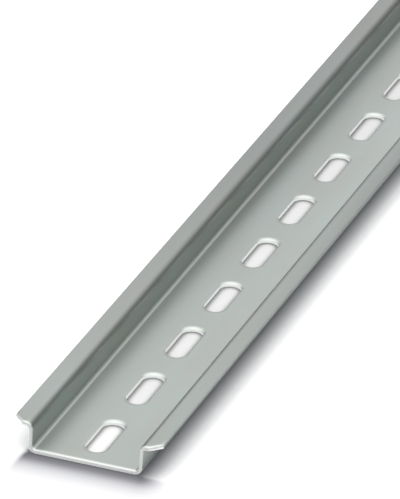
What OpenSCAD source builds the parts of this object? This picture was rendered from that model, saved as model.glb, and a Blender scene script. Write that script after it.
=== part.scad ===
// Top-hat mounting rail: one strip of zinc-plated steel, roll-formed into a
// shallow channel with two outward lips, and punched with a row of long slots.
// The rail runs along +X from x = -length / 2, the lips point along Y, and the
// back of the web lies on z = 0. All sizes are in millimetres.

/* [Rail] */
// Length of the bar
length = 500; // [100:25:2000]
// Thickness of the steel strip
thickness = 1; // [0.8:0.1:1.5]

/* [Section] */
// Width across the outer edges of the two lips
rail_width = 35; // [33:0.5:40]
// Width of the channel across the outside of its two walls
channel_width = 27; // [24:0.5:28]
// Height from the back of the web to the top of the lips
rail_height = 7.5; // [7:0.5:15]
// Radius on the inside of the four bends
bend_radius = 0.8; // [0.3:0.1:1.2]

/* [Slots] */
// Distance from one slot to the next along the rail
slot_pitch = 25; // [20:1:50]
// Width of a slot, for an M5 screw
slot_width = 5.2; // [4.2:0.1:6.5]
// Length of a slot from end to end
slot_length = 15; // [10:0.5:18]

/* [Ends] */
// Cut taken off each corner of the lips, at 45 degrees
lip_corner_cut = 2.5; // [0.5:0.1:3]

/* [Hidden] */
$fn = 64;

// Bends: the outer radius is the inner one plus the strip.
outer_bend_radius = bend_radius + thickness;
// Centre of the bend between web and wall.
foot_y = channel_width / 2 - outer_bend_radius;
foot_z = outer_bend_radius;
// Centre of the bend between wall and lip.
brow_y = channel_width / 2 + bend_radius;
brow_z = rail_height - outer_bend_radius;

// Slots: as many whole pitches as the bar holds, centred on its length.
slot_count = floor(length / slot_pitch);
first_slot_x = -(slot_count - 1) * slot_pitch / 2;
slot_straight = slot_length - slot_width;

// How far a cutter reaches past the face that it cuts.
reach = 1;

// A quarter of the strip's bend, about the origin, in the quadrant of +Y and +Z.
module bend_quarter() {
    difference() {
        intersection() {
            circle(r = outer_bend_radius);
            square(outer_bend_radius);
        }
        circle(r = bend_radius);
    }
}

// Half of the rail's section on the +Y side, drawn with Y to the right and Z up.
module half_section() {
    // web
    square([foot_y, thickness]);
    // bend from the web up into the wall
    translate([foot_y, foot_z]) mirror([0, 1]) bend_quarter();
    // wall
    translate([channel_width / 2 - thickness, foot_z]) square([thickness, brow_z - foot_z]);
    // bend from the wall out into the lip
    translate([brow_y, brow_z]) mirror([1, 0]) bend_quarter();
    // lip
    translate([brow_y, rail_height - thickness]) square([rail_width / 2 - brow_y, thickness]);
}

module section() {
    half_section();
    mirror([1, 0]) half_section();
}

// Opening of one slot, with round ends, running along X.
module slot_outline() {
    square([slot_straight, slot_width], center = true);
    for (side = [-1, 1]) translate([side * slot_straight / 2, 0]) circle(d = slot_width);
}

// Outline of the bar from above, with the corners of the lips cut off.
module plan_outline() {
    end_x = length / 2;
    edge_y = rail_width / 2;
    cut = lip_corner_cut;
    polygon([
        [-end_x, -edge_y + cut], [-end_x + cut, -edge_y],
        [end_x - cut, -edge_y], [end_x, -edge_y + cut],
        [end_x, edge_y - cut], [end_x - cut, edge_y],
        [-end_x + cut, edge_y], [-end_x, edge_y - cut]
    ]);
}

module rail() {
    color("silver")
    difference() {
        intersection() {
            translate([-length / 2, 0, 0]) rotate([90, 0, 90]) linear_extrude(length) section();
            translate([0, 0, -reach]) linear_extrude(rail_height + 2 * reach) plan_outline();
        }
        for (i = [0 : slot_count - 1])
            translate([first_slot_x + i * slot_pitch, 0, -reach])
                linear_extrude(thickness + 2 * reach) slot_outline();
    }
}

rail();
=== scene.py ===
import math

import bpy
from mathutils import Matrix, Vector, noise


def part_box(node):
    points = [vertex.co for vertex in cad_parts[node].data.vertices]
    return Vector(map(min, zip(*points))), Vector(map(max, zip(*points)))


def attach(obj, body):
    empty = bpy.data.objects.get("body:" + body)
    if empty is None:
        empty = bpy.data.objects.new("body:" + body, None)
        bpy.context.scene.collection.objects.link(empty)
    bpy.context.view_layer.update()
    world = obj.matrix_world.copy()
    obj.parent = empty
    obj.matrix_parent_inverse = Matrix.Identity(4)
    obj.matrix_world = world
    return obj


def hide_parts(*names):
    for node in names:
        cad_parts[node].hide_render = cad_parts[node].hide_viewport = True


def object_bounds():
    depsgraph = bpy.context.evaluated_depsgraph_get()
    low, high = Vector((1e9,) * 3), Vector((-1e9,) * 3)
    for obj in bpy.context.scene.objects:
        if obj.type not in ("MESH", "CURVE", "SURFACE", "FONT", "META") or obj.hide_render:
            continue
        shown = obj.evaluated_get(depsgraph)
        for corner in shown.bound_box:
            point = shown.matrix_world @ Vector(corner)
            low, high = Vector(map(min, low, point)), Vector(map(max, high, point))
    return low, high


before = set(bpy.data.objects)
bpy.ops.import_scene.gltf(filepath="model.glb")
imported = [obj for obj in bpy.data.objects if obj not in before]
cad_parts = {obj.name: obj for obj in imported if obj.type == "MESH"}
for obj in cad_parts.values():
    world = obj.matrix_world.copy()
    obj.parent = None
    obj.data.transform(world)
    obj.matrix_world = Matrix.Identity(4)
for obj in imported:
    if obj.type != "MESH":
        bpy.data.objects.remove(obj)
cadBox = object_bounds()
print("frame loaded")

mm = 0.001


def hexColour(code):
    parts = [int(code[i:i + 2], 16) / 255 for i in (1, 3, 5)]
    linear = [c / 12.92 if c <= 0.04045 else ((c + 0.055) / 1.055) ** 2.4 for c in parts]
    return (*linear, 1.0)


# Rows of (place, level) as the stops of a ramp that ends at reach. What is dim is a little bluish,
# as shade is.
def levelStops(rows, reach=1.0, blueLift=0.95):
    return [(place / reach, (level, level, level ** blueLift, 1)) for place, level in rows]


# A link names an output, or a node whose first output is meant. Stops are a colour ramp's positions
# and colours.
def addNode(tree, kind, inputs=None, links=None, stops=None, **settings):
    node = tree.nodes.new(kind)
    for name, value in settings.items():
        setattr(node, name, value)
    for socket, value in (inputs or {}).items():
        node.inputs[socket].default_value = value
    for socket, source in (links or {}).items():
        if isinstance(source, bpy.types.Node):
            source = source.outputs[0]
        tree.links.new(source, node.inputs[socket])
    if stops:
        elements = node.color_ramp.elements
        while len(elements) < len(stops):
            elements.new(0.5)       # anywhere: each gets its position below
        for element, (position, colour) in zip(elements, stops):
            element.position = position
            element.color = colour
    return node


def newMaterial(name):
    material = bpy.data.materials.new(name)
    material.use_nodes = True
    tree = material.node_tree
    tree.nodes.clear()
    return material, tree


# Camera: a long lens looks along the bar from its near end, a little to the right and from above.
camera = {
    "aimX": 110.0,          # mm from the near end
    "aimY": 14.0,           # mm left of the middle
    "heading": 19.44,       # degrees from the bar's own direction
    "elevation": 26.45,
    "roll": 2.43,
    "distance": 1720.7,     # mm
    "lens": 532.7,          # mm on a 36 mm sensor
    "farthest": 20,         # m, how far it sees
}


def makeCamera(c):
    heading, elevation, roll = (math.radians(c[k]) for k in ("heading", "elevation", "roll"))
    forward = Vector((math.cos(heading) * math.cos(elevation),
                      math.sin(heading) * math.cos(elevation),
                      -math.sin(elevation)))
    right = forward.cross(Vector((0, 0, 1))).normalized()
    up = right.cross(forward)
    tiltedRight = math.cos(roll) * right + math.sin(roll) * up
    tiltedUp = math.cos(roll) * up - math.sin(roll) * right
    aim = Vector((cadBox[0].x + c["aimX"] * mm, c["aimY"] * mm, 0))
    data = bpy.data.cameras.new("camera")
    data.lens = c["lens"]
    data.clip_end = c["farthest"]
    tripod = bpy.data.objects.new("camera", data)
    turn = Matrix((tiltedRight, tiltedUp, -forward)).transposed().to_4x4()
    tripod.matrix_world = Matrix.Translation(aim - forward * c["distance"] * mm) @ turn
    bpy.context.collection.objects.link(tripod)
    bpy.context.scene.camera = tripod


makeCamera(camera)
print("camera set")

# The rail is made the way the real one is: a flat strip is punched and cut, then its flats are bent up.
# Flat places are (x along the bar, s across the strip, n up from the middle of its thickness), in mm.
railLow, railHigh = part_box("rail")
rail = {
    "halfLength": railHigh.x / mm,
    "halfWidth": railHigh.y / mm,
    "height": railHigh.z / mm,
    "thickness": 1.0,
    "channelWidth": 27.0,
    "bendRadius": 0.8,      # inside
    "lipCut": 2.5,          # corner taken off at 45 degrees
    "slotPitch": 25.0,
    "slotWidth": 5.2,
    "slotLength": 15.0,
    "rollWidth": 1.0,       # how far the punch draws the surface down round a slot's ends
    "rollDrop": 0.34,
    "rollAtSides": 0.35,    # share of that along its straight sides
    "fractureFlare": 0.02,  # the torn lower half of a punched wall leans back
    "tearHeight": 0.05,     # how far the line where that half starts wanders up and down
    "tearWaves": 1.7,       # waves a mm along it
    "endHeight": 0.12,      # the same on the cut ends
    "endWaves": 0.9,
    "endDrift": 0.4,        # how much the waves change from one row of corners to the next
    "endDifference": 3.1,   # keeps the two ends from being alike
    "edgeBand": 1.2,        # width of the band along every edge that follows the edge's own shape
    "support": 0.25,        # a narrow strip beside each bend that keeps the flats flat to the eye
    "bendSteps": 8,
    "wallSteps": 3,
    "cornerSteps": 6,       # on an eighth of a turn round a slot
    "sideSteps": 4,         # on a slot's straight side
    "rimSteps": 6,          # down the rim that the punch draws in
    "sharpAngle": 38,       # degrees between faces from which an edge is drawn sharp
}
rail["outerBend"] = rail["bendRadius"] + rail["thickness"]
rail["midBend"] = rail["bendRadius"] + rail["thickness"] / 2
rail["webHalf"] = rail["channelWidth"] / 2 - rail["outerBend"]
rail["arc"] = rail["midBend"] * math.pi / 2
rail["wall"] = rail["height"] - 2 * rail["outerBend"]
rail["browY"] = rail["channelWidth"] / 2 + rail["bendRadius"]
rail["lip"] = rail["halfWidth"] - rail["browY"]
rail["wallStart"] = rail["webHalf"] + rail["arc"]
rail["browStart"] = rail["wallStart"] + rail["wall"]
rail["lipStart"] = rail["browStart"] + rail["arc"]
rail["halfStrip"] = rail["lipStart"] + rail["lip"]
rail["slotCount"] = round(2 * rail["halfLength"] / rail["slotPitch"])


# Where a flat place comes to lie in the bent section: (y, z).
def bendUp(s, n):
    side = 1 if s >= 0 else -1
    away = abs(s)
    if away <= rail["webHalf"]:
        y, z = away, rail["thickness"] / 2 + n
    elif away <= rail["wallStart"]:
        angle = (away - rail["webHalf"]) / rail["midBend"]
        radius = rail["midBend"] - n
        y = rail["webHalf"] + radius * math.sin(angle)
        z = rail["outerBend"] - radius * math.cos(angle)
    elif away <= rail["browStart"]:
        y = rail["channelWidth"] / 2 - rail["thickness"] / 2 - n
        z = rail["outerBend"] + away - rail["wallStart"]
    elif away <= rail["lipStart"]:
        angle = (away - rail["browStart"]) / rail["midBend"]
        radius = rail["midBend"] + n
        y = rail["browY"] - radius * math.cos(angle)
        z = rail["height"] - rail["outerBend"] + radius * math.sin(angle)
    else:
        y = rail["browY"] + away - rail["lipStart"]
        z = rail["height"] - rail["thickness"] / 2 + n
    return side * y, z


def spread(start, end, steps):
    return [start + (end - start) * k / steps for k in range(steps + 1)]


# The flat strip's corners, faces and finishes. Corners that fall together are kept once.
class Sheet:
    def __init__(self):
        self.places = {}
        self.flat = []
        self.faces = []
        self.finishes = []

    def corner(self, place):
        key = tuple(round(v, 4) for v in place)
        if key not in self.places:
            self.places[key] = len(self.flat)
            self.flat.append(place)
        return self.places[key]

    def face(self, places, finish=0, flip=False):
        ring = []
        for place in places:
            index = self.corner(place)
            if index not in ring:
                ring.append(index)
        if len(ring) > 2:
            self.faces.append(ring[::-1] if flip else ring)
            self.finishes.append(finish)


# Both at so many mm in from the strip's edge: s where the cut corner starts, and x where the strip ends.
def kinkPlace(inset):
    return rail["halfStrip"] - rail["lipCut"] - inset * math.tan(math.radians(22.5))


def endPlace(s, inset):
    return rail["halfLength"] - inset - max(0, abs(s) - kinkPlace(inset))


# Stations across one half of the strip, from the web's flat to the lip's tip.
def halfStations():
    r = rail
    steps, keep = r["bendSteps"], r["support"]
    places = [r["webHalf"] - keep]
    places += spread(r["webHalf"], r["wallStart"], steps)
    places += spread(r["wallStart"] + keep, r["browStart"] - keep, r["wallSteps"])
    places += spread(r["browStart"], r["lipStart"], steps)
    places += [r["lipStart"] + keep / 2]
    return places


lipStations = [0, 0.3, 0.65, 1]     # shares of the cut corner, from its kink to the tip


def stationAt(k, inset):
    if k < len(innerStations):
        return innerStations[k]
    kink = kinkPlace(inset)
    tip = rail["halfStrip"] - inset
    return kink + (tip - kink) * lipStations[k - len(innerStations)]


innerStations = halfStations()
lastStation = len(innerStations) + len(lipStations) - 1
cellSteps = 2 * rail["cornerSteps"] + rail["sideSteps"]


# Each slot has a cell of its own, a pitch long. Those at the ends stop at the edge band.
def cellEdges(cell):
    start = -rail["halfLength"] + cell * rail["slotPitch"]
    end = start + rail["slotPitch"]
    band = rail["edgeBand"]
    return (max(start, band - rail["halfLength"]), min(end, rail["halfLength"] - band))


def alongAt(cell, step, s, inset):
    low, high = cellEdges(cell)
    x = low + (high - low) * step / cellSteps
    if cell == 0:
        x = high + (x - high) * (high + endPlace(s, inset)) / (high - low)
    elif cell == rail["slotCount"] - 1:
        x = low + (x - low) * (endPlace(s, inset) - low) / (high - low)
    return x


# One slot's outline and the border of its cell, point for point: end, side, end, side.
def slotRing(cell):
    low, high = cellEdges(cell)
    middle = -rail["halfLength"] + (cell + 0.5) * rail["slotPitch"]
    radius = rail["slotWidth"] / 2
    straight = (rail["slotLength"] - rail["slotWidth"]) / 2
    edge = rail["webHalf"] - rail["support"]
    turn = 2 * rail["cornerSteps"]
    ring = []
    for side in (1, -1):
        ends = (high, low) if side > 0 else (low, high)
        for k in range(turn):
            angle = math.radians(-45 + 90 * k / turn)
            normal = (side * math.cos(angle), side * math.sin(angle))
            base = (middle + side * straight, 0)
            border = (ends[0], side * (-edge + 2 * edge * k / turn))
            ring.append((base, normal, border))
        for k in range(cellSteps):
            border = (ends[0] + (ends[1] - ends[0]) * k / cellSteps, side * edge)
            corner = rail["cornerSteps"]
            if k < corner:
                angle, shift = math.radians(45 + 45 * k / corner), straight
            elif k <= corner + rail["sideSteps"]:
                part = (k - corner) / rail["sideSteps"]
                angle, shift = math.pi / 2, straight * (1 - 2 * part)
            else:
                part = (k - corner - rail["sideSteps"]) / corner
                angle, shift = math.radians(90 + 45 * part), -straight
            normal = (side * math.cos(angle), side * math.sin(angle))
            ring.append(((middle + side * shift, 0), normal, border))
    return [(base[0] + normal[0] * radius, base[1] + normal[1] * radius, normal, border)
            for base, normal, border in ring]


# Profile from the top surface, over the drawn-down rim and down the wall to the back: (out, n, finish).
# The rim's rows are shares of its width and of its drop. It leaves the flat gently and ends steeply.
def slotProfile():
    half = rail["thickness"] / 2
    wide, drop, steps = rail["rollWidth"], rail["rollDrop"], rail["rimSteps"]
    rim = [(1.15, 0, 0), (1.0, 0, 0), (0.94, 0.03, 0), (0.88, 0.08, 0)]
    rim += [(0.88 * (1 - k / steps), 0.08 + 0.78 * (k / steps) ** 1.3, 0) for k in range(1, steps)]
    rim += [(0.05, 0.88, 0), (0.0, 1.0, 1)]
    lean = rail["fractureFlare"]
    return ([(wide * out, half - drop * down, finish) for out, down, finish in rim]
            + [(0, -0.04, 1), (lean, -half + 0.06, 1), (lean, -half, 1)])


def makeSlots(sheet):
    profile = slotProfile()
    half = rail["thickness"] / 2
    for cell in range(rail["slotCount"]):
        ring = slotRing(cell)
        count = len(ring)

        def place(k, out, n):
            x, s, normal, _ = ring[k % count]
            if n > 0 and out < profile[0][0]:
                share = rail["rollAtSides"] + (1 - rail["rollAtSides"]) * abs(normal[0])
                out, n = out * share, half - (half - n) * share
            wander = 0
            if -half < n < 0.1:     # below the smooth part of the wall
                waves = rail["tearWaves"]
                wander = rail["tearHeight"] * noise.noise(Vector((x * waves, s * waves, cell)))
            return (x + normal[0] * out, s + normal[1] * out, n + wander)

        for k in range(count):
            for before, after in zip(profile, profile[1:]):
                sheet.face([place(k, before[0], before[1]), place(k + 1, before[0], before[1]),
                            place(k + 1, after[0], after[1]), place(k, after[0], after[1])],
                           finish=after[2])
            for n, last, flip in ((half, profile[0][0], True), (-half, profile[-1][0], False)):
                here, there = ring[k][3], ring[(k + 1) % count][3]
                sheet.face([place(k, last, n), place(k + 1, last, n), (*there, n), (*here, n)], flip=flip)


def makeFlanges(sheet):
    half = rail["thickness"] / 2
    band = rail["edgeBand"]
    for side in (1, -1):
        for n in (half, -half):
            for cell in range(rail["slotCount"]):
                for step in range(cellSteps):
                    for k in range(lastStation):
                        corners = []
                        for dk, dx in ((0, 0), (0, 1), (1, 1), (1, 0)):
                            s = stationAt(k + dk, band)
                            corners.append((alongAt(cell, step + dx, s, band), side * s, n))
                        sheet.face(corners, flip=(side * n < 0))


# Profiles of the edges from the top surface round to the back: (inset, n, finish). Finish 0 is the
# plating, 1 the sheared edge and 2 the slit edge. Both have as many rows, because they meet at the corners.
endProfile = [(0.9, 0.49, 0), (0.62, 0.47, 0), (0.46, 0.44, 1), (0.33, 0.39, 1), (0.22, 0.31, 1),
              (0.13, 0.2, 1), (0.06, 0.07, 1), (0.02, -0.08, 1), (0.0, -0.3, 1), (0.02, -0.42, 1),
              (0.08, -0.48, 0), (0.2, -0.5, 0)]
slitProfile = [(0.85, 0.5, 0), (0.62, 0.5, 0), (0.45, 0.5, 0), (0.3, 0.495, 0), (0.2, 0.48, 0),
               (0.1, 0.43, 0), (0.03, 0.36, 0), (0.0, 0.27, 2), (0.0, -0.1, 2), (0.03, -0.4, 2),
               (0.1, -0.46, 0), (0.22, -0.5, 0)]


# A station is a number, or a tuple that holds a place on the web.
def edgePlace(cell, step, station, side, ring, atEnd):
    half = rail["thickness"] / 2
    rings = endProfile if atEnd else slitProfile
    if ring < 0:
        inset, n = rail["edgeBand"], half
    elif ring >= len(rings):
        inset, n = rail["edgeBand"], -half
    else:
        inset, n = rings[ring][:2]
    if isinstance(station, tuple):
        s = station[0]
    else:
        s = stationAt(station, inset)
    x = alongAt(cell, step, s, inset)
    if atEnd and 0 <= ring < len(rings):
        r = rail
        wander = noise.noise(Vector((s * r["endWaves"], cell * r["endDifference"], ring * r["endDrift"])))
        n += r["endHeight"] * wander * (half - abs(n))
    return (x, side * s, n)


def makeEdges(sheet):
    r = rail
    rings = len(endProfile)
    edge = r["webHalf"] - r["support"]
    web = [(s,) for s in spread(-edge, edge, 2 * r["cornerSteps"])]
    for cell, step, flip in ((0, 0, False), (r["slotCount"] - 1, cellSteps, True)):
        across = [(k, -1) for k in range(lastStation, 0, -1)]
        across += [(place, 1) for place in web]
        across += [(k, 1) for k in range(1, lastStation + 1)]
        for (a, sideA), (b, sideB) in zip(across, across[1:]):
            for ring in range(-1, rings):
                finish = endProfile[min(max(ring, 0), rings - 1)][2]
                sheet.face([edgePlace(cell, step, a, sideA, ring, True),
                            edgePlace(cell, step, b, sideB, ring, True),
                            edgePlace(cell, step, b, sideB, ring + 1, True),
                            edgePlace(cell, step, a, sideA, ring + 1, True)],
                           finish=finish, flip=flip)
    for side in (1, -1):
        along = [(cell, step) for cell in range(r["slotCount"]) for step in range(cellSteps)]
        along.append((r["slotCount"] - 1, cellSteps))
        for here, there in zip(along, along[1:]):
            for ring in range(-1, rings):
                corners = []
                for (cell, step), low in ((here, ring), (there, ring), (there, ring + 1), (here, ring + 1)):
                    tip = (cell, step) in (along[0], along[-1])
                    corners.append(edgePlace(cell, step, lastStation, side, low, tip))
                finish = slitProfile[min(max(ring, 0), rings - 1)][2]
                sheet.face(corners, finish=finish, flip=side < 0)


# Zinc plated strip: cold rolled steel, so its gloss is drawn out across the bar by fine lines that run
# along it, and pale blue passivation leaves cloudy grey-green and pinkish patches. Its colour also holds
# painted light: bands by height paint a highlight along the inner bends and round the slots' rims, and
# painted shade on the walls and lips; painted shade also darkens it towards the far end.
railFinishAndPaintedLight = {
    # height in mm, colour without the painted far-end shade, colour with it. The rows paint a highlight on
    # the inner bends (1.13 to 1.38 mm) and on the slots' drawn-down rims (0.3 to 0.9 mm), and shade on the
    # walls and lips
    "paintedLightBands": ((0.1, "#dae3dd", "#c0c8c3"), (0.3, "#eaf1ed", "#e2e9e5"), (0.9, "#eaf1ed", "#e2e9e5"),
              (0.98, "#dae3dd", "#c0c8c3"), (1.05, "#dae3dd", "#c0c8c3"),
              (1.13, "#f6fef9", "#f6fef9"), (1.38, "#f6fef9", "#f6fef9"),
              (1.75, "#b3bcb6", "#b9c2bc"), (6.3, "#b3bcb6", "#b9c2bc"), (7.2, "#d1d9d3", "#b2b8b4")),
    "paintedShadeAlong": (-230.0, -100.0),  # painted shade, mm along the bar: none up to the first, all from the second
    "paintedShadeAcross": ((0, 0.9), (3.5, 0.62), (5.8, 0.17), (35, 1.0)),  # mm from the right lip's tip, how much painted shade
    "warm": "#fffaf9",          # multiplies the colour where a patch is pinkish
    "warmFrom": (0.4, 0.62),    # of the patches' noise: none below the first, all above the second
    "patch": (40.0, 8.0, 8.0),  # mm along, across and up
    "patchMix": 0.55,           # how rough the patches' noise is
    "line": (30.0, 0.25, 0.25),     # rolling lines: real ones are nearer 0.05 mm and wouldn't show
    "lineMix": 0.6,
    "lineBump": (0.1, 0.02),    # strength, and depth in mm
    "gloss": (0.30, 0.37),      # roughness between and on the lines
    "crossGrain": 0.65,
    "edge": "#f2f5f3",
    "edgeRoughness": 0.45,
    "tear": (0.35, 0.35, 0.7),  # mm, grain of a sheared edge
    "tearBump": (0.5, 0.08),
    # The slit edges' dark grey is partly painted shade.
    "slit": ("#4c5250", "#6c7270"),
    "slitRoughness": 0.4,
    "score": (4.0, 0.2, 0.2),
    "scoreBump": (0.4, 0.04),
}


# Cloudy noise with grains of so many mm along the bar, across it and up.
def grain(tree, size, mix=0.5):
    place = addNode(tree, "ShaderNodeTexCoord")
    counted = addNode(tree, "ShaderNodeVectorMath", {1: [1 / (length * mm) for length in size]},
                      {0: place.outputs["Object"]}, operation="MULTIPLY")
    return addNode(tree, "ShaderNodeTexNoise", {"Scale": 1, "Detail": 3, "Roughness": mix},
                   {"Vector": counted})


def platedSteelWithPaintedLight(c):
    steel, tree = newMaterial("cold rolled steel, zinc plated, with painted light")
    place = addNode(tree, "ShaderNodeTexCoord")
    split = addNode(tree, "ShaderNodeSeparateXYZ", links={"Vector": place.outputs["Object"]})
    height, along, across = (
        addNode(tree, "ShaderNodeMapRange", {"From Min": low * mm, "From Max": high * mm},
                {"Value": split.outputs[axis]})
        for axis, low, high in (("Z", 0, rail["height"]), ("X", *c["paintedShadeAlong"]),
                                ("Y", -rail["halfWidth"], rail["halfWidth"])))
    # Painted light: highlights and shade by height, and painted shade towards the far end.
    bright, paintedShadeBands = (
        addNode(tree, "ShaderNodeValToRGB", links={"Fac": height},
                stops=[(row[0] / rail["height"], hexColour(row[column])) for row in c["paintedLightBands"]])
        for column in (1, 2))
    share = addNode(tree, "ShaderNodeValToRGB", links={"Fac": across},
                    stops=levelStops(c["paintedShadeAcross"], 2 * rail["halfWidth"]))
    # Painted shade: darker towards the far end, by an amount that changes across the bar.
    paintedShadeShare = addNode(tree, "ShaderNodeMath", links={0: along, 1: share}, operation="MULTIPLY")
    platingAndPaintedLight = addNode(tree, "ShaderNodeMixRGB", links={"Fac": paintedShadeShare, "Color1": bright, "Color2": paintedShadeBands})
    patches = grain(tree, c["patch"], c["patchMix"])
    warm = addNode(tree, "ShaderNodeMapRange", {"From Min": c["warmFrom"][0], "From Max": c["warmFrom"][1]},
                   {"Value": patches})
    cloud = addNode(tree, "ShaderNodeMixRGB",
                    {"Color1": hexColour("#ffffff"), "Color2": hexColour(c["warm"])}, {"Fac": warm})
    # The plating colour here carries the painted highlights and shade as well as the patches.
    tint = addNode(tree, "ShaderNodeMixRGB", {"Fac": 1}, {"Color1": platingAndPaintedLight, "Color2": cloud},
                   blend_type="MULTIPLY")
    lines = grain(tree, c["line"], c["lineMix"])
    rough = addNode(tree, "ShaderNodeMapRange", {"To Min": c["gloss"][0], "To Max": c["gloss"][1]},
                    {"Value": lines})
    bump = addNode(tree, "ShaderNodeBump",
                   {"Strength": c["lineBump"][0], "Distance": c["lineBump"][1] * mm}, {"Height": lines})
    aroundBar = addNode(tree, "ShaderNodeTangent", direction_type="RADIAL", axis="X")
    shader = addNode(tree, "ShaderNodeBsdfPrincipled", {"Metallic": 1, "Anisotropic": c["crossGrain"]},
                     {"Base Color": tint, "Roughness": rough, "Normal": bump, "Tangent": aroundBar})
    addNode(tree, "ShaderNodeOutputMaterial", links={"Surface": shader})
    return steel


# Sheared steel: bright burnished metal above, torn and sparkling below.
def shearedSteel(c):
    steel, tree = newMaterial("sheared steel edge")
    bump = addNode(tree, "ShaderNodeBump",
                   {"Strength": c["tearBump"][0], "Distance": c["tearBump"][1] * mm},
                   {"Height": grain(tree, c["tear"])})
    shader = addNode(tree, "ShaderNodeBsdfPrincipled",
                     {"Metallic": 1, "Base Color": hexColour(c["edge"]), "Roughness": c["edgeRoughness"]},
                     {"Normal": bump})
    addNode(tree, "ShaderNodeOutputMaterial", links={"Surface": shader})
    return steel


# Slit steel: the strip's long edges, sheared by rotary knives, matt grey with scores along them. Their dark
# grey is partly bare cut steel and partly painted shade, standing in for the shaded table these faces mirror.
def slitSteel(c):
    steel, tree = newMaterial("slit steel edge")
    scores = grain(tree, c["score"])
    mottle = addNode(tree, "ShaderNodeMixRGB",
                     {"Color1": hexColour(c["slit"][0]), "Color2": hexColour(c["slit"][1])}, {"Fac": scores})
    bump = addNode(tree, "ShaderNodeBump",
                   {"Strength": c["scoreBump"][0], "Distance": c["scoreBump"][1] * mm}, {"Height": scores})
    shader = addNode(tree, "ShaderNodeBsdfPrincipled", {"Metallic": 1, "Roughness": c["slitRoughness"]},
                     {"Base Color": mottle, "Normal": bump})
    addNode(tree, "ShaderNodeOutputMaterial", links={"Surface": shader})
    return steel


def makeRail():
    sheet = Sheet()
    makeSlots(sheet)
    makeFlanges(sheet)
    makeEdges(sheet)
    print("strip punched and cut")
    points = []
    for x, s, n in sheet.flat:
        y, z = bendUp(s, n)
        points.append((x * mm, y * mm, z * mm))
    mesh = bpy.data.meshes.new("rail_strip")
    mesh.from_pydata(points, [], sheet.faces)
    # in the order of the finishes' numbers: 0 plated, 1 sheared, 2 slit
    for makeFinish in (platedSteelWithPaintedLight, shearedSteel, slitSteel):
        mesh.materials.append(makeFinish(railFinishAndPaintedLight))
    mesh.polygons.foreach_set("material_index", sheet.finishes)
    mesh.polygons.foreach_set("use_smooth", [True] * len(mesh.polygons))
    mesh.set_sharp_from_angle(angle=math.radians(rail["sharpAngle"]))
    strip = bpy.data.objects.new("rail_strip", mesh)
    bpy.context.collection.objects.link(strip)
    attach(strip, "root")
    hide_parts("rail")
    print("rail made:", len(points), "corners,", len(sheet.faces), "faces")


makeRail()

# Studio: a matt white table in a light tent that is brightest overhead, with a white panel behind the bar.
studio = {
    "tableSize": 6.0,               # m
    "tableGap": 0.02,               # mm between the bar's back and the table
    "tableColour": "#e6e6e6",       # in the light that it throws back
    "tableGlow": 0.55,              # what the well lit table adds for the eye and in the metal
    "panelBearing": 18,             # degrees anticlockwise from along the bar
    "panelHeight": 18,              # degrees above the table
    "panelDistance": 1.6,           # m
    "panelSize": (0.9, 0.75),
    "panelLevel": 0.45,             # share of white
    # towards which X the tent is all back, and all front
    "tentTurn": (0.7, -0.2),
    # how bright the tent is at each height above the table (0 level, 1 overhead)
    "tentFront": ((0.0, 0.3), (0.42, 0.6), (0.64, 0.92), (1.0, 1.35)),
    "tentBack": ((0.0, 0.15), (0.3, 0.18), (0.44, 0.4), (0.64, 0.88), (1.0, 1.3)),
    # soft shade painted on the table round the bar: mm from the bar's foot, share of light left
    "shadeAtEnds": ((0, 0.13), (2, 0.19), (3, 0.27), (4, 0.37), (5, 0.46), (6.5, 0.56), (8.5, 0.64),
                    (12, 0.75), (20, 1.0)),
    "shadeAtSides": ((0, 0.24), (1, 0.37), (2, 0.5), (3, 0.63), (4, 0.76), (5, 0.85), (7, 1.0)),
    "shadeOnLeft": 5.0,             # how many times sooner the shade ends on the lit side
    "cornerTurn": 0.5,              # how soon the ends' shade takes over round a corner: 1 is evenly
    "openReach": 20.0,              # mm, how near a thing has to be to dim the table's glow
    "openRays": 8,
    # under the slots: mm in from the near end, share of light left
    "shadeInSlots": ((12, 0.76), (37, 0.65), (112, 0.645), (188, 0.6)),
    "slotShadeReach": 6.0,          # mm, soft shade inside a slot below its far and left edges
    "slotShadeTilt": (0.62, 0.62, 0.48),
    "slotShadeRays": 16,
    "slotShade": ((0.3, 0.2), (0.66, 0.45), (0.8, 0.55), (0.9, 1.0)),   # how open a place is, share of light
    "mirroredInSlots": 0.75,        # how bright the table looks in the metal of a slot's wall
    "mirroredAtEnds": 0.5,          # and in the cut ends
}


# How far a place on the table lies past the bar's ends and past its sides, in m.
def gapsToBar(tree, split, sideFactor):
    gaps = []
    for axis, edge, factor in (("X", rail["halfLength"], 1), ("Y", rail["channelWidth"] / 2, sideFactor)):
        ahead = addNode(tree, "ShaderNodeMath", {1: -edge * mm}, {0: split.outputs[axis]}, operation="ADD")
        ahead = addNode(tree, "ShaderNodeMath", {1: factor}, {0: ahead}, operation="MULTIPLY")
        behind = addNode(tree, "ShaderNodeMath", {0: -edge * mm}, {1: split.outputs[axis]},
                         operation="SUBTRACT")
        past = addNode(tree, "ShaderNodeMath", links={0: ahead, 1: behind}, operation="MAXIMUM")
        gaps.append(addNode(tree, "ShaderNodeMath", {1: 0}, {0: past}, operation="MAXIMUM"))
    return gaps


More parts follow.
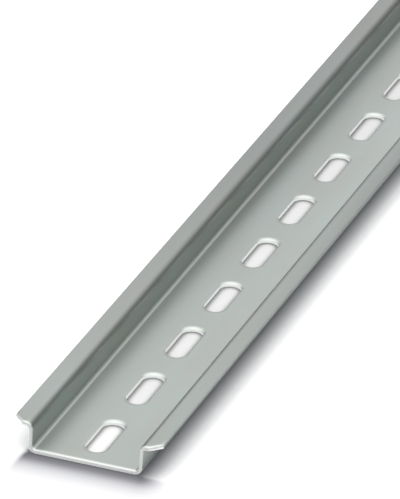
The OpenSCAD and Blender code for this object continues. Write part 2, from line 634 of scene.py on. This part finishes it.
# The shade round the bar, for the eye and for the metal, in which the cut ends see a brighter table.
def shadeRound(tree, split, c):
    pastEnd, pastSide = gapsToBar(tree, split, c["shadeOnLeft"])
    gap = addNode(tree, "ShaderNodeCombineXYZ", links={"X": pastEnd, "Y": pastSide})
    distance = addNode(tree, "ShaderNodeVectorMath", links={0: gap}, operation="LENGTH").outputs["Value"]
    shades = []
    for rows in (c["shadeAtEnds"], c["shadeAtSides"]):
        reach = rows[-1][0]
        part = addNode(tree, "ShaderNodeMapRange", {"From Max": reach * mm}, {"Value": distance})
        shades.append(addNode(tree, "ShaderNodeValToRGB", links={"Fac": part}, stops=levelStops(rows, reach)))
    atEnd = addNode(tree, "ShaderNodeMath", links={0: pastEnd, 1: distance}, operation="DIVIDE")
    turn = addNode(tree, "ShaderNodeMath", {1: c["cornerTurn"]}, {0: atEnd}, operation="POWER")
    seen = addNode(tree, "ShaderNodeMixRGB", links={"Fac": turn, "Color1": shades[1], "Color2": shades[0]})
    mirrored = addNode(tree, "ShaderNodeMixRGB", {"Color2": (c["mirroredAtEnds"],) * 3 + (1,)},
                       {"Fac": turn, "Color1": shades[1]})
    return seen, mirrored


# The shade under a slot: less light further in, and next to none below the slot's far and left edges.
def shadeInSlot(tree, split, c):
    reach = c["shadeInSlots"][-1][0]
    fromEnd = addNode(tree, "ShaderNodeMapRange",
                      {"From Min": -rail["halfLength"] * mm, "From Max": (reach - rail["halfLength"]) * mm},
                      {"Value": split.outputs["X"]})
    inwards = addNode(tree, "ShaderNodeValToRGB", links={"Fac": fromEnd},
                      stops=levelStops(c["shadeInSlots"], reach))
    underEdge = addNode(tree, "ShaderNodeAmbientOcclusion",
                        {"Distance": c["slotShadeReach"] * mm, "Normal": c["slotShadeTilt"]},
                        samples=c["slotShadeRays"])
    edgeShade = addNode(tree, "ShaderNodeValToRGB", links={"Fac": underEdge.outputs["AO"]},
                        stops=levelStops(c["slotShade"]))
    return addNode(tree, "ShaderNodeMath", links={0: inwards, 1: edgeShade}, operation="MULTIPLY")


# Matt white paint with no gloss, with painted shade round the bar and under its slots. It glows where it is
# open, as a table does in a light tent.
def makeTable(c):
    paint, tree = newMaterial("matt white table with painted shade")
    place = addNode(tree, "ShaderNodeTexCoord")
    split = addNode(tree, "ShaderNodeSeparateXYZ", links={"Vector": place.outputs["Object"]})
    beyond = []
    for axis, edge in (("X", rail["halfLength"]), ("Y", rail["webHalf"])):
        away = addNode(tree, "ShaderNodeMath", links={0: split.outputs[axis]}, operation="ABSOLUTE")
        beyond.append(addNode(tree, "ShaderNodeMath", {1: edge * mm}, {0: away}, operation="GREATER_THAN"))
    outside = addNode(tree, "ShaderNodeMath", links={0: beyond[0], 1: beyond[1]}, operation="MAXIMUM")
    seenRound, mirroredRound = shadeRound(tree, split, c)
    seen = addNode(tree, "ShaderNodeMixRGB",
                   links={"Fac": outside, "Color1": shadeInSlot(tree, split, c), "Color2": seenRound})
    mirrored = addNode(tree, "ShaderNodeMixRGB", {"Color1": (c["mirroredInSlots"],) * 3 + (1,)},
                       {"Fac": outside, "Color2": mirroredRound})
    openness = addNode(tree, "ShaderNodeAmbientOcclusion", {"Distance": c["openReach"] * mm},
                       samples=c["openRays"])
    looks = []
    for tint in (seen, mirrored):
        glowTint = addNode(tree, "ShaderNodeMixRGB", {"Fac": 1},
                           {"Color1": tint, "Color2": openness.outputs["AO"]}, blend_type="MULTIPLY")
        lit = addNode(tree, "ShaderNodeBsdfDiffuse", links={"Color": tint})
        glow = addNode(tree, "ShaderNodeEmission", {"Strength": c["tableGlow"]}, {"Color": glowTint})
        looks.append(addNode(tree, "ShaderNodeAddShader", links={0: lit, 1: glow}))
    ray = addNode(tree, "ShaderNodeLightPath")
    plain = addNode(tree, "ShaderNodeBsdfDiffuse", {"Color": hexColour(c["tableColour"])})
    inMetal = addNode(tree, "ShaderNodeMixShader",
                      links={"Fac": ray.outputs["Is Glossy Ray"], 1: plain, 2: looks[1]})
    forEye = addNode(tree, "ShaderNodeMixShader",
                     links={"Fac": ray.outputs["Is Camera Ray"], 1: inMetal, 2: looks[0]})
    addNode(tree, "ShaderNodeOutputMaterial", links={"Surface": forEye})
    half = c["tableSize"] / 2
    mesh = bpy.data.meshes.new("table")
    corners = [(-half, -half, 0), (half, -half, 0), (half, half, 0), (-half, half, 0)]
    mesh.from_pydata(corners, [], [(0, 1, 2, 3)])
    mesh.materials.append(paint)
    table = bpy.data.objects.new("table", mesh)
    table.location.z = cadBox[0].z - c["tableGap"] * mm
    bpy.context.collection.objects.link(table)


def makePanel(c):
    data = bpy.data.lights.new("white panel", "AREA")
    data.shape = "RECTANGLE"
    data.size, data.size_y = c["panelSize"]
    data.energy = c["panelLevel"] * math.pi * data.size * data.size_y
    lamp = bpy.data.objects.new("white panel", data)
    turn, rise = math.radians(c["panelBearing"]), math.radians(c["panelHeight"])
    towards = Vector((math.cos(turn) * math.cos(rise), math.sin(turn) * math.cos(rise), math.sin(rise)))
    lamp.location = c["panelDistance"] * towards
    lamp.rotation_euler = (-towards).to_track_quat("-Z", "Y").to_euler()
    lamp.visible_camera = False
    bpy.context.collection.objects.link(lamp)


def makeTent(c):
    world = bpy.data.worlds.new("light tent")
    bpy.context.scene.world = world
    world.use_nodes = True
    tree = world.node_tree
    tree.nodes.clear()
    around = addNode(tree, "ShaderNodeTexCoord")
    split = addNode(tree, "ShaderNodeSeparateXYZ", links={"Vector": around.outputs["Generated"]})
    allBack, allFront = c["tentTurn"]
    turn = addNode(tree, "ShaderNodeMapRange", {"From Min": allBack, "From Max": allFront},
                   {"Value": split.outputs["X"]})
    back, front = (
        addNode(tree, "ShaderNodeValToRGB", links={"Fac": split.outputs["Z"]}, stops=levelStops(c[part]))
        for part in ("tentBack", "tentFront"))
    level = addNode(tree, "ShaderNodeMixRGB", links={"Fac": turn, "Color1": back, "Color2": front})
    cloth = addNode(tree, "ShaderNodeBackground", links={"Color": level})
    white = addNode(tree, "ShaderNodeBackground", {"Color": hexColour("#ffffff")})
    ray = addNode(tree, "ShaderNodeLightPath")
    forEye = addNode(tree, "ShaderNodeMixShader",
                     links={"Fac": ray.outputs["Is Camera Ray"], 1: cloth, 2: white})
    addNode(tree, "ShaderNodeOutputWorld", links={"Surface": forEye})


makeTable(studio)
makePanel(studio)
makeTent(studio)
bpy.context.scene.view_settings.view_transform = "Standard"
print("studio set")
